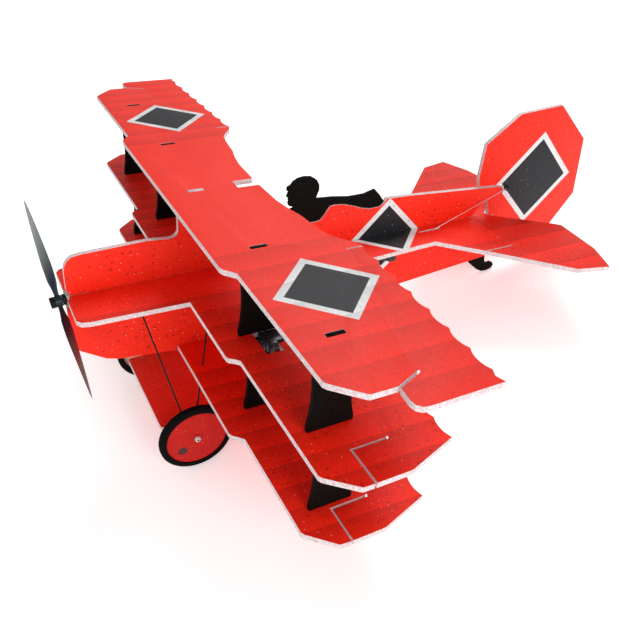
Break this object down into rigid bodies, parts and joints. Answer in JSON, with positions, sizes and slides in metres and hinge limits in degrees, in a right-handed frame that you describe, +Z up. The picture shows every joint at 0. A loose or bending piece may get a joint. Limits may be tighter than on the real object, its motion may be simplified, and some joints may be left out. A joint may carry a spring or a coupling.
{
  "type": "foam park-flyer model triplane",
  "caption": "Radio-controlled park-flyer triplane cut from flat red foam sheets, with black foam struts, pilot and tail skid, carbon-rod landing gear, propeller and hinged control surfaces",
  "frame": {"origin": "on the ground under the middle of the whole model's box, as it stands on its wheels and tail skid", "axes": "+X to the port wing tip, -Y toward the nose, +Y toward the tail, +Z up; at rest the fuselage is tipped nose-up by 13.38 degrees"},
  "size_m": [0.891, 0.8552, 0.3702],
  "materials": {
    "foam_red": "expanded foam, printed red",
    "foam_black": "black expanded foam",
    "carbon": "pultruded carbon",
    "plastic_black": "moulded black",
    "steel": "bright wire",
    "beech": "bare beech",
    "prop_grey": "moulded grey",
    "steel_dark": "anodised dark",
    "tyre": "matt black foam rubber",
    "plastic_pale": "pale nylon",
    "battery_wrap": "shrink wrap",
    "strap_fabric": "hook and loop strap",
    "shrink_black": "heat shrink"
  },
  "bodies": {
    "airframe": {"axle": "carbon", "axle_wing": "foam_red", "battery": "battery_wrap", "battery_strap": "strap_fabric", "bottom_wing": "foam_red", "fuselage_lower": "foam_red", "fuselage_upper": "foam_red", "leg_front_port": "carbon", "leg_front_starboard": "carbon", "leg_rear_port": "carbon", "leg_rear_starboard": "carbon", "middle_sheet": "foam_red", "motor_base": "steel", "motor_stick": "beech", "pilot": "foam_black", "receiver": "plastic_black", "servo_aileron_port": "plastic_black", "servo_aileron_starboard": "plastic_black", "servo_elevator": "plastic_black", "servo_rudder": "plastic_black", "speed_controller": "shrink_black", "strut_lower_inner_port": "foam_black", "strut_lower_inner_starboard": "foam_black", "strut_lower_outer_port": "foam_black", "strut_lower_outer_starboard": "foam_black", "strut_upper_inner_port": "foam_black", "strut_upper_inner_starboard": "foam_black", "strut_upper_outer_port": "foam_black", "strut_upper_outer_starboard": "foam_black", "tail_skid": "foam_black", "top_wing": "foam_red", "wheel_collar_port": "plastic_pale", "wheel_collar_starboard": "plastic_pale"},
    "propeller_unit": {"propeller": "prop_grey", "prop_nut": "steel_dark", "motor_bell": "plastic_black"},
    "wheel_port": {"tyre_port": "tyre", "wheel_disc_port": "foam_red"},
    "wheel_starboard": {"tyre_starboard": "tyre", "wheel_disc_starboard": "foam_red"},
    "aileron_top_port_body": {"aileron_top_port": "foam_red"},
    "aileron_top_starboard_body": {"aileron_top_starboard": "foam_red"},
    "aileron_mid_port_body": {"aileron_mid_port": "foam_red", "horn_aileron_port": "plastic_black"},
    "aileron_mid_starboard_body": {"aileron_mid_starboard": "foam_red", "horn_aileron_starboard": "plastic_black"},
    "aileron_low_port_body": {"aileron_low_port": "foam_red"},
    "aileron_low_starboard_body": {"aileron_low_starboard": "foam_red"},
    "servo_arm_aileron_port_body": {"servo_arm_aileron_port": "plastic_black"},
    "pushrod_aileron_port_body": {"pushrod_aileron_port": "steel"},
    "servo_arm_aileron_starboard_body": {"servo_arm_aileron_starboard": "plastic_black"},
    "pushrod_aileron_starboard_body": {"pushrod_aileron_starboard": "steel"},
    "elevator_body": {"elevator": "foam_red", "horn_elevator": "plastic_black"},
    "servo_arm_elevator_body": {"servo_arm_elevator": "plastic_black"},
    "pushrod_elevator_body": {"pushrod_elevator": "steel"},
    "rudder_body": {"rudder": "foam_red", "horn_rudder": "plastic_black"},
    "servo_arm_rudder_body": {"servo_arm_rudder": "plastic_black"},
    "pushrod_rudder_body": {"pushrod_rudder": "steel"}
  },
  "joints": [
    {"name": "propeller_spin", "type": "hinge", "parent": "airframe", "child": "propeller_unit", "pos_m": [0, -0.41565, 0.26221], "axis": [0, -0.9942, 0.1076], "continuous": true},
    {"name": "wheel_port_spin", "type": "hinge", "parent": "airframe", "child": "wheel_port", "pos_m": [0.1045, -0.32845, 0.051], "axis": [1, 0, 0], "continuous": true},
    {"name": "wheel_starboard_spin", "type": "hinge", "parent": "airframe", "child": "wheel_starboard", "pos_m": [-0.1045, -0.32845, 0.051], "axis": [1, 0, 0], "continuous": true},
    {"name": "aileron_top_port_hinge", "type": "hinge", "parent": "airframe", "child": "aileron_top_port_body", "pos_m": [0.196, -0.11366, 0.31445], "axis": [0.9738, -0.221, 0.0526], "range_deg": [-25, 25]},
    {"name": "aileron_top_starboard_hinge", "type": "hinge", "parent": "airframe", "child": "aileron_top_starboard_body", "pos_m": [-0.196, -0.11366, 0.31445], "axis": [0.9738, 0.221, -0.0526], "range_deg": [-25, 25]},
    {"name": "aileron_mid_port_hinge", "type": "hinge", "parent": "airframe", "child": "aileron_mid_port_body", "pos_m": [0.196, -0.14016, 0.20306], "axis": [0.9738, -0.221, 0.0526], "range_deg": [-25, 25]},
    {"name": "aileron_mid_starboard_hinge", "type": "hinge", "parent": "airframe", "child": "aileron_mid_starboard_body", "pos_m": [-0.196, -0.14016, 0.20306], "axis": [0.9738, 0.221, -0.0526], "range_deg": [-25, 25]},
    {"name": "aileron_low_port_hinge", "type": "hinge", "parent": "airframe", "child": "aileron_low_port_body", "pos_m": [0.196, -0.16665, 0.09166], "axis": [0.9738, -0.221, 0.0526], "range_deg": [-25, 25]},
    {"name": "aileron_low_starboard_hinge", "type": "hinge", "parent": "airframe", "child": "aileron_low_starboard_body", "pos_m": [-0.196, -0.16665, 0.09166], "axis": [0.9738, 0.221, -0.0526], "range_deg": [-25, 25]},
    {"name": "servo_arm_aileron_port_turn", "type": "hinge", "parent": "airframe", "child": "servo_arm_aileron_port_body", "pos_m": [0.1884, -0.22084, 0.21865], "axis": [1, 0, 0], "range_deg": [-31.5, 31.5]},
    {"name": "pushrod_aileron_port_travel", "type": "slide", "parent": "airframe", "child": "pushrod_aileron_port_body", "axis": [0, 0.9729, -0.2314], "range_m": [-0.0071, 0.0071]},
    {"name": "servo_arm_aileron_starboard_turn", "type": "hinge", "parent": "airframe", "child": "servo_arm_aileron_starboard_body", "pos_m": [-0.1884, -0.22084, 0.21865], "axis": [1, 0, 0], "range_deg": [-31.5, 31.5]},
    {"name": "pushrod_aileron_starboard_travel", "type": "slide", "parent": "airframe", "child": "pushrod_aileron_starboard_body", "axis": [0, 0.9729, -0.2314], "range_m": [-0.0071, 0.0071]},
    {"name": "elevator_hinge", "type": "hinge", "parent": "airframe", "child": "elevator_body", "pos_m": [0, 0.20326, 0.12137], "axis": [1, 0, 0], "range_deg": [-30, 30]},
    {"name": "servo_arm_elevator_turn", "type": "hinge", "parent": "airframe", "child": "servo_arm_elevator_body", "pos_m": [-0.0154, 0.00194, 0.14099], "axis": [1, 0, 0], "range_deg": [-38, 38]},
    {"name": "pushrod_elevator_travel", "type": "slide", "parent": "airframe", "child": "pushrod_elevator_body", "axis": [0, 0.9729, -0.2314], "range_m": [-0.0099, 0.0099]},
    {"name": "rudder_hinge", "type": "hinge", "parent": "airframe", "child": "rudder_body", "pos_m": [0.0035, 0.25012, 0.10663], "axis": [0, 0.2314, 0.9729], "range_deg": [-30, 30]},
    {"name": "servo_arm_rudder_turn", "type": "hinge", "parent": "airframe", "child": "servo_arm_rudder_body", "pos_m": [0.0154, 0.04827, 0.11969], "axis": [1, 0, 0], "range_deg": [-20, 20]},
    {"name": "pushrod_rudder_travel", "type": "slide", "parent": "airframe", "child": "pushrod_rudder_body", "axis": [0, 0.9729, -0.2314], "range_m": [-0.0049, 0.0049]}
  ],
  "couplings": [
    {"joint": "aileron_top_starboard_hinge", "follows": "aileron_top_port_hinge", "ratio": -1},
    {"joint": "aileron_mid_port_hinge", "follows": "aileron_top_port_hinge", "ratio": 1},
    {"joint": "aileron_mid_starboard_hinge", "follows": "aileron_top_port_hinge", "ratio": -1},
    {"joint": "aileron_low_port_hinge", "follows": "aileron_top_port_hinge", "ratio": 1},
    {"joint": "aileron_low_starboard_hinge", "follows": "aileron_top_port_hinge", "ratio": -1},
    {"joint": "servo_arm_aileron_port_turn", "follows": "aileron_top_port_hinge", "ratio": 1.236},
    {"joint": "pushrod_aileron_port_travel", "follows": "aileron_top_port_hinge", "m_per_rad": 0.016068},
    {"joint": "servo_arm_aileron_starboard_turn", "follows": "aileron_top_port_hinge", "ratio": -1.236},
    {"joint": "pushrod_aileron_starboard_travel", "follows": "aileron_top_port_hinge", "m_per_rad": -0.016068},
    {"joint": "servo_arm_elevator_turn", "follows": "elevator_hinge", "ratio": 1.2333},
    {"joint": "pushrod_elevator_travel", "follows": "elevator_hinge", "m_per_rad": 0.0185},
    {"joint": "servo_arm_rudder_turn", "follows": "rudder_hinge", "ratio": -0.6429},
    {"joint": "pushrod_rudder_travel", "follows": "rudder_hinge", "m_per_rad": 0.009}
  ]
}
